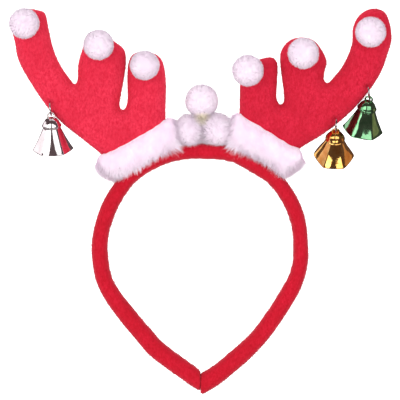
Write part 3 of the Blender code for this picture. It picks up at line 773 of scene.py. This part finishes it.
def antler_piece(name, outline, pierces, look, seed):
    """A stuffed antler: pulled in at the seam, puckered in its slits, dented at the rings."""
    rim = closed_rim(outline, ANTLER_SPACING)
    count = len(rim)
    points, triangles = flat_triangles(rim)
    apart, number = nearest_on_rim(points, rim)
    share = np.clip(apart / ANTLER_EDGE_WIDTH, TINY, 1.0)
    height = ANTLER_HALF_THICK * np.sqrt(1.0 - (1.0 - share) ** 2)
    hollow = hollowness(rim)[number]
    travel = number * ANTLER_SPACING
    verts = []
    for face_side, salt in ((-1.0, 0), (1.0, 50)):
        side_height = height + antler_relief(points, apart, travel, hollow, seed + salt)
        for pierce in pierces:
            away = np.linalg.norm(points - np.array(pierce), axis=1)
            dent = DENT_DEPTH * np.exp(-(away / DENT_REACH) ** 2)
            side_height = side_height - dent * np.clip(apart / DENT_FADE, 0.0, 1.0)
        side_height = np.maximum(side_height, LEAST_HEIGHT)
        side_height[:count] = 0.0
        verts.append(np.column_stack([points[:, 0], face_side * side_height, points[:, 1]]))
    front, rear = verts
    sink = inward(rim) * SEAM_SINK
    front[:count, 0] += sink[:, 0]
    front[:count, 2] += sink[:, 1]
    faces = list(triangles)
    offset = len(front) - count
    for tri in triangles:
        faces.append(tuple(i if i < count else i + offset for i in reversed(tri)))
    all_verts = np.vstack([front, rear[count:]])
    faces = face_outward(all_verts, faces)
    piece = make_piece(name + "_plush", all_verts, faces, look, [name])
    return all_verts, faces, vertex_normals(all_verts, faces)


# White pile
def inside_antler(points, rim, margin):
    """Whether each point is within an antler that is thinner all round by a margin."""
    flat = points[:, [0, 2]]
    held = inside(flat, rim)
    found = np.zeros(len(points), bool)
    if held.any():
        apart = nearest_on_rim(flat[held], rim)[0]
        share = np.clip(apart / ANTLER_EDGE_WIDTH, 0.0, 1.0)
        height = ANTLER_HALF_THICK * np.sqrt(1.0 - (1.0 - share) ** 2)
        found[held] = np.abs(points[held, 1]) < height - margin
    return found


def inside_band(points, margin):
    """Whether each point is within a band that is thinner all round by a margin."""
    _, path, across = band_line()
    flat = points[:, [0, 2]]
    found = np.zeros(len(points), bool)
    for first in range(0, len(points), SEARCH_BLOCK):
        part = slice(first, first + SEARCH_BLOCK)
        near = ((flat[part, None, :] - path[None, :, :]) ** 2).sum(2).argmin(1)
        out = ((flat[part] - path[near]) * across[near]).sum(1) / (BAND_HALF_THICK - margin)
        deep = points[part, 1] / (BAND_HALF_DEPTH - margin)
        past = ((flat[part] - path[near]) ** 2).sum(1) > (1.5 * BAND_HALF_THICK) ** 2
        level = np.abs(out) ** BAND_SQUARENESS + np.abs(deep) ** BAND_SQUARENESS
        found[part] = (level < 1.0) & ~past
    return found


def clumped(roots, heading, clumps, pull, seed):
    """Directions turned so that neighbouring hairs lean together into locks."""
    rng = np.random.default_rng(seed)
    chosen = rng.choice(len(roots), clumps, replace=False)
    tree = kdtree.KDTree(clumps)
    for i, number in enumerate(chosen):
        tree.insert(Vector(roots[number]), i)
    tree.balance()
    lock = np.array([tree.find(Vector(p))[1] for p in roots])
    together = roots[chosen] + heading[chosen] * LOCK_REACH
    return unit(heading * (1.0 - pull) + unit(together[lock] - roots) * pull)


def pile_piece(name, core, hair, look):
    """One piece of a core and its hairs, each given as vertices, faces and normals."""
    start = len(core[0])
    verts = np.vstack([core[0], hair[0]])
    faces = core[1] + [[i + start for i in f] for f in hair[1]]
    normals = np.vstack([core[2], hair[2]])
    make_piece(name + "_fur", verts, faces, look, [name], normals)


def trim_core(rows, rim, seed):
    """The pile's dense core, without the faces that lie inside the antler and the band."""
    sections = smooth_points(rows, TRIM_STEPS, closed=False)
    angle = 2 * math.pi * np.arange(TRIM_SIDES) / TRIM_SIDES
    power = 2 / TRIM_SQUARENESS
    rise = np.sign(np.cos(angle)) * np.abs(np.cos(angle)) ** power
    deep = np.sign(np.sin(angle)) * np.abs(np.sin(angle)) ** power
    rings = []
    for top_x, top_z, low_x, low_z, share in sections:
        middle = np.array([(top_x + low_x) / 2, (top_z + low_z) / 2])
        up = np.array([top_x, top_z]) - middle
        tight = 1.0 - TRIM_INSET / np.linalg.norm(up)
        depth = TRIM_HALF_DEPTH * share - TRIM_INSET
        rings.append(np.column_stack([middle[0] + up[0] * rise * tight, deep * depth,
                                      middle[1] + up[1] * rise * tight]))
    verts = np.vstack(rings)
    faces = face_outward(verts, loft_faces(len(rings), TRIM_SIDES))
    normals = vertex_normals(verts, faces)
    verts = verts + normals * (TRIM_LUMPS[1] * relief(verts, TRIM_LUMPS[0], seed))[:, None]
    hidden = inside_antler(verts, rim, TRIM_SEAT) | inside_band(verts, TRIM_SEAT)
    faces = [f for f in faces if not all(hidden[i] for i in f)]
    return verts, faces, vertex_normals(verts, face_outward(verts, faces))


def fur_trim_piece(name, rows, rim, seed):
    """Deep-pile fur: a dense core under matted hairs that hang over the lower edge."""
    core = trim_core(rows, rim, seed)
    roots, up = scatter(*core, TRIM_HAIRS, seed + 1)
    keep = ~(inside_antler(roots, rim, 0.0) | inside_band(roots, 0.0))
    roots, up = roots[keep], up[keep]
    count = len(roots)
    rng = np.random.default_rng(seed + 2)
    under = np.clip(-up[:, 2] * TRIM_UNDER_SPREAD, 0.0, 1.0)[:, None]
    splay = TRIM_SPLAY * np.sign(roots[:, 1])
    comb = np.column_stack([np.zeros(count), splay, np.full(count, -1.0)])
    comb = unit(comb - up * (comb * up).sum(1)[:, None])
    inner_end = rows[-1] if name.endswith("left") else rows[0]
    toward = np.array([math.copysign(1.0, -inner_end[0]), 0.0, 0.0])
    close = np.exp(-((roots[:, 0] - inner_end[0]) / TRIM_END_REACH) ** 2)[:, None]
    lift = up * (TRIM_LIFT[0] + TRIM_LIFT[1] * under)
    first = lift + comb * (TRIM_COMB[0] - TRIM_COMB[1] * under) + toward * close * TRIM_END_PULL
    first = unit(first + rng.normal(0.0, TRIM_SCATTER[0], roots.shape))
    first = clumped(roots, first, TRIM_LOCKS, TRIM_LOCK_PULL, seed + 3)
    droop = np.array([0.0, 0.0, -TRIM_DROOP]) * (1.0 - close)
    second = unit(first + droop + rng.normal(0.0, TRIM_SCATTER[1], roots.shape))
    length = rng.uniform(*TRIM_HAIR_LENGTH, count) * (1.0 - TRIM_TOP_LOSS * np.clip(up[:, 2], 0.0, 1.0))
    length = length * (1.0 + TRIM_END_GAIN * close[:, 0]) * (1.0 + TRIM_UNDER_GAIN * under[:, 0])
    width = rng.uniform(*TRIM_HAIR_WIDTH, count)
    hair = strands(roots - up * TRIM_HAIR_SINK, up, first, second, length, width, TRIM_SOFTNESS)
    pile_piece(name, core, hair, TRIM_LOOK)


def pompom_piece(name, centre, half_width, half_height, forward, inset, pile, look, seed):
    """A ball of dense short pile with an uneven outline."""
    rng = np.random.default_rng(seed)
    rise = math.pi * ((np.arange(POMPOM_LEVELS) + 0.5) / POMPOM_LEVELS - 0.5)
    turn = 2 * math.pi * np.arange(POMPOM_SIDES) / POMPOM_SIDES
    sphere = np.stack([np.cos(rise)[:, None] * np.cos(turn)[None],
                       np.cos(rise)[:, None] * np.sin(turn)[None],
                       np.repeat(np.sin(rise)[:, None], POMPOM_SIDES, 1)], 2).reshape(-1, 3)
    size = np.array([half_width, half_width, half_height])
    middle = np.array([centre[0], -forward, centre[1]])
    verts = middle + sphere * (size - inset)
    faces = face_outward(verts, loft_faces(POMPOM_LEVELS, POMPOM_SIDES))
    normals = vertex_normals(verts, faces)
    verts = verts + normals * (POMPOM_LUMPS[1] * relief(verts, POMPOM_LUMPS[0], seed))[:, None]
    roots, up = scatter(verts, faces, normals, POMPOM_HAIRS, seed + 1)
    first = unit(up + rng.normal(0.0, POMPOM_SCATTER[0], roots.shape))
    first = clumped(roots, first, POMPOM_LOCKS, POMPOM_LOCK_PULL, seed + 3)
    second = unit(first + rng.normal(0.0, POMPOM_SCATTER[1], roots.shape))
    length = rng.uniform(0.6 * pile, pile, POMPOM_HAIRS)
    for spot in PILE_MEETS:
        away = np.linalg.norm(roots - np.array(spot), axis=1)
        length = length * (1.0 + PILE_MEETS_GAIN * np.exp(-(away / PILE_MEETS_REACH) ** 2))
    width = rng.uniform(*POMPOM_HAIR_WIDTH, POMPOM_HAIRS)
    hair = strands(roots - up * POMPOM_HAIR_SINK, up, first, second, length, width, POMPOM_SOFTNESS)
    pile_piece(name, (verts, faces, normals), hair, look)


# Bells
def hanging(lean, swing=0.0):
    """Rotation of what hangs along -Z: leant to the left, its lower end swung to the back."""
    return Matrix.Rotation(math.radians(lean), 4, "Y") @ Matrix.Rotation(math.radians(swing), 4, "X")


def bell_frames(pierce, ring_lean, swing, bell_lean):
    """World matrices of a jump ring and of the bell whose loop hangs on it."""
    ring_turn = hanging(ring_lean)
    down = ring_turn @ Vector((0.0, 0.0, -1.0))
    top = Vector((pierce[0], -RING_FORWARD, pierce[1]))
    sideways = Matrix.Rotation(math.pi / 2, 4, "Z")
    ring = Matrix.Translation(top + down * RING_RADIUS) @ ring_turn @ sideways
    held = top + down * (2 * RING_RADIUS - RING_WIRE - LOOP_WIRE - LOOP_PLAY)
    bell_turn = hanging(bell_lean, swing)
    loop_centre = held + bell_turn @ Vector((0.0, 0.0, -LOOP_RADIUS))
    return ring, Matrix.Translation(loop_centre) @ bell_turn


def placed(verts, matrix):
    turn = np.array(matrix.to_3x3())
    return np.asarray(verts) @ turn.T + np.array(matrix.translation)


def wire_loop(ring_radius, wire_radius, sides, slit=0.0):
    """A ring of round wire in the XZ plane, with its hole along Y; slit is its opening's angle."""
    turn = slit / 2 + (2 * math.pi - slit) * np.arange(sides) / (sides - 1 if slit else sides)
    bend = 2 * math.pi * np.arange(WIRE_SIDES) / WIRE_SIDES
    reach = ring_radius + wire_radius * np.cos(bend)[None, :]
    verts = np.stack([reach * np.cos(turn)[:, None],
                      np.repeat(wire_radius * np.sin(bend)[None, :], sides, 0),
                      reach * np.sin(turn)[:, None]], 2).reshape(-1, 3)
    faces = loft_faces(sides, WIRE_SIDES, closed_ends=bool(slit))
    if not slit:
        last = (sides - 1) * WIRE_SIDES
        for k in range(WIRE_SIDES):
            after = (k + 1) % WIRE_SIDES
            faces.append([last + k, last + after, after, k])
    return verts, face_outward(verts, faces)


def crown_level():
    return -(LOOP_RADIUS + LOOP_WIRE - LOOP_SINK)


def bell_ring(radius, drop):
    """One level of the bell: round at the crown, with six nearly flat sides at the mouth."""
    share = min(1.0, max(0.0, (drop - BELL_LEDGE) / (BELL_HEIGHT - BELL_LEDGE)))
    turn = 2 * math.pi * np.arange(BELL_SIDES) / BELL_SIDES
    wedge = math.pi / BELL_CORNER_COUNT
    off = np.abs((turn + wedge) % (2 * wedge) - wedge)
    off = np.minimum(np.sqrt(off ** 2 + BELL_CORNER_ROUNDING ** 2), wedge)
    hexagon = math.cos(wedge) / np.cos(wedge - off)
    reach = radius * (1.0 - BELL_SQUARING * math.sqrt(share) * (hexagon.max() - hexagon))
    return np.column_stack([reach * np.cos(turn), reach * np.sin(turn),
                            np.full(BELL_SIDES, crown_level() - drop)])


def bell_piece(name, matrix):
    """The flared bell with its ledge, rolled lip and loop."""
    outer = smooth_points(BELL_PROFILE, BELL_STEPS, closed=False)
    lip = [(BELL_PROFILE[-1][0] - BELL_LIP + BELL_LIP * math.cos(a), BELL_HEIGHT + BELL_LIP * math.sin(a))
           for a in np.linspace(0.15 * math.pi, math.pi, BELL_LIP_STEPS)]
    run = np.gradient(outer, axis=0)
    run = run / np.linalg.norm(run, axis=1)[:, None]
    inner = outer + np.column_stack([-run[:, 1], run[:, 0]]) * BELL_WALL
    inner = inner[inner[:, 0] > BELL_AXIS_GAP][::-1]
    profile = np.vstack([outer, lip, inner[1:]])
    verts = np.vstack([bell_ring(radius, drop) for radius, drop in profile])
    faces = face_outward(verts, loft_faces(len(profile), BELL_SIDES))
    loop_verts, loop_faces = wire_loop(LOOP_RADIUS, LOOP_WIRE, LOOP_SIDES)
    start = len(verts)
    faces = faces + [[i + start for i in f] for f in loop_faces]
    verts = placed(np.vstack([verts, loop_verts]), matrix)
    make_piece("bell_" + name + "_plated", verts, faces, METALS[name],
               ["bell_" + name])


def clapper_piece(name, matrix):
    """A turned stem and ball."""
    top = LOOP_SINK + 0.0006
    rows = [(0.0001, top), (CLAPPER_STEM, top + 0.0002)]
    rows.append((CLAPPER_STEM, CLAPPER_DROP - CLAPPER_BALL))
    for a in np.linspace(0.10 * math.pi, 0.98 * math.pi, CLAPPER_BALL_STEPS):
        rows.append((CLAPPER_BALL * math.sin(a), CLAPPER_DROP - CLAPPER_BALL * math.cos(a)))
    turn = 2 * math.pi * np.arange(CLAPPER_SIDES) / CLAPPER_SIDES
    rings = [np.column_stack([radius * np.cos(turn), radius * np.sin(turn),
                              np.full(CLAPPER_SIDES, crown_level() - drop)]) for radius, drop in rows]
    verts = np.vstack(rings)
    faces = face_outward(verts, loft_faces(len(rings), CLAPPER_SIDES))
    make_piece("clapper_" + name + "_steel", placed(verts, matrix), faces, CLAPPER_LOOK,
               ["clapper_" + name])


def ring_piece(name, matrix):
    verts, faces = wire_loop(RING_RADIUS, RING_WIRE, RING_SIDES, RING_SLIT)
    make_piece("ring_" + name + "_wire", placed(verts, matrix), faces, RING_LOOK,
               ["ring_" + name])


# Camera, stage and light
def make_camera():
    data = bpy.data.cameras.new("camera")
    data.lens = LENS
    data.sensor_width = SENSOR
    camera = bpy.data.objects.new("camera", data)
    bpy.context.scene.collection.objects.link(camera)
    away = PIXEL * PHOTO_SIDE * LENS / SENSOR
    camera.location = (VIEW_CENTRE[0], -away, VIEW_CENTRE[1])
    camera.rotation_euler = (math.pi / 2, 0.0, 0.0)
    bpy.context.scene.camera = camera


def only_mirrored(piece):
    """A stage piece that shows in the metal and nowhere else."""
    piece.visible_camera = False
    piece.visible_diffuse = False
    piece.visible_transmission = False
    piece.visible_shadow = False


def stage_piece(name, verts, glow, colour=(1.0, 1.0, 1.0)):
    """One flat piece of the studio."""
    mesh = bpy.data.meshes.new(name)
    mesh.from_pydata(verts, [], [(0, 1, 2, 3)])
    look, tree, shader = new_material(name)
    shader.inputs["Base Color"].default_value = (*(0.92 * c for c in colour), 1.0)
    shader.inputs["Roughness"].default_value = 0.9
    shader.inputs["Emission Color"].default_value = (*colour, 1.0)
    shader.inputs["Emission Strength"].default_value = glow
    mesh.materials.append(look)
    made = bpy.data.objects.new(name, mesh)
    bpy.context.scene.collection.objects.link(made)
    return made


def make_stage():
    """A pale floor and a glowing backdrop, which the metal does not mirror, and the dim warm room
    that it does."""
    side, far = FLOOR_HALF_WIDTH, BACKDROP_DISTANCE
    floor_front = [(-side, FLOOR_FRONT, FLOOR_LEVEL), (side, FLOOR_FRONT, FLOOR_LEVEL)]
    floor_back = [(side, far, FLOOR_LEVEL), (-side, far, FLOOR_LEVEL)]
    floor = stage_piece("floor", floor_front + floor_back, 0.0)
    floor.visible_glossy = False
    backdrop_top = [(side, far, BACKDROP_TOP), (-side, far, BACKDROP_TOP)]
    backdrop = stage_piece("backdrop", floor_back[::-1] + backdrop_top, BACKDROP_GLOW)
    backdrop.visible_glossy = False
    reach = ROOM_REACH
    corners = [(-reach, -reach), (reach, -reach), (reach, reach), (-reach, reach)]
    for i, (x, y) in enumerate(corners):
        after = corners[(i + 1) % len(corners)]
        wall = [(x, y, -reach), (*after, -reach), (*after, reach), (x, y, reach)]
        only_mirrored(stage_piece("room_wall", wall, 1.0, ROOM_COLOUR))
    for level in (-reach, reach):
        only_mirrored(stage_piece("room_level", [(x, y, level) for x, y in corners], 1.0, ROOM_COLOUR))


def make_light(name, place, aim, size, power, colour):
    data = bpy.data.lights.new(name, "AREA")
    data.shape = "RECTANGLE"
    data.size, data.size_y = size
    data.energy = power
    data.color = colour
    lamp = bpy.data.objects.new(name, data)
    lamp.visible_camera = False
    bpy.context.scene.collection.objects.link(lamp)
    lamp.location = place
    lamp.rotation_euler = (Vector(aim) - Vector(place)).to_track_quat("-Z", "Y").to_euler()


def make_lights():
    """A pale surround that the metal does not mirror, and softboxes that it does: two in front and
    two lower ones with dark gaps between them, one on the left quarter, one at each side, one above."""
    world = bpy.data.worlds.new("studio")
    world.use_nodes = True
    world.node_tree.nodes["Background"].inputs["Color"].default_value = (1.0, 0.98, 0.99, 1.0)
    world.node_tree.nodes["Background"].inputs["Strength"].default_value = WORLD_STRENGTH
    bpy.context.scene.world = world
    world.cycles_visibility.glossy = False
    for name, place, size, radiance, colour in SOFTBOXES:
        power = radiance * math.pi * size[0] * size[1]
        aim = (place[0], 0.0, place[2]) if "front" in name or "low" in name else (0.0, 0.0, 0.0)
        make_light(name, place, aim, size, power, colour)
    view = bpy.context.scene.view_settings
    view.view_transform = "Standard"
    view.look = "None"
    view.exposure = 0.0


def main():
    make_camera()
    make_stage()
    make_lights()
    band = band_piece()
    nap_piece("headband_nap", band, BAND_NAP_COUNT, BAND_LOOK, SEED + 10)
    rims = {}
    for side, outline in (("left", LEFT_OUTLINE), ("right", RIGHT_OUTLINE)):
        sign = -1.0 if side == "left" else 1.0
        pierces = [row[1] for row in BELLS if row[1][0] * sign > 0.0]
        seed = SEED + (100 if side == "left" else 200)
        surface = antler_piece("antler_" + side, outline, pierces, ANTLER_LIT_AND_SHADED_LOOKS[side], seed)
        nap_piece("antler_" + side + "_nap", surface, ANTLER_NAP_COUNT, ANTLER_LIT_AND_SHADED_LOOKS[side],
                  seed + 10)
        rims[side] = closed_rim(outline, 2 * ANTLER_SPACING)
    fur_trim_piece("fur_trim_left", LEFT_TRIM, rims["left"], SEED + 300)
    fur_trim_piece("fur_trim_right", RIGHT_TRIM, rims["right"], SEED + 400)
    for i, (name, centre, half_width, half_height) in enumerate(TINE_POMPOMS):
        pompom_piece(name, centre, half_width, half_height, TINE_POMPOM_FORWARD, *TINE_PILE, POMPOM_LOOK,
                     SEED + 500 + 10 * i)
    for i, (name, centre, half_width, half_height) in enumerate(CENTRE_POMPOMS):
        pile = TINE_PILE if name.endswith("top") else CENTRE_PILE
        pompom_piece(name, centre, half_width, half_height, CENTRE_POMPOM_FORWARD, *pile, CENTRE_LOOK,
                     SEED + 600 + 10 * i)
    for name, pierce, ring_lean, swing, bell_lean in BELLS:
        ring_frame, bell_frame = bell_frames(pierce, ring_lean, swing, bell_lean)
        bell_piece(name, bell_frame)
        clapper_piece(name, bell_frame)
        ring_piece(name, ring_frame)


main()
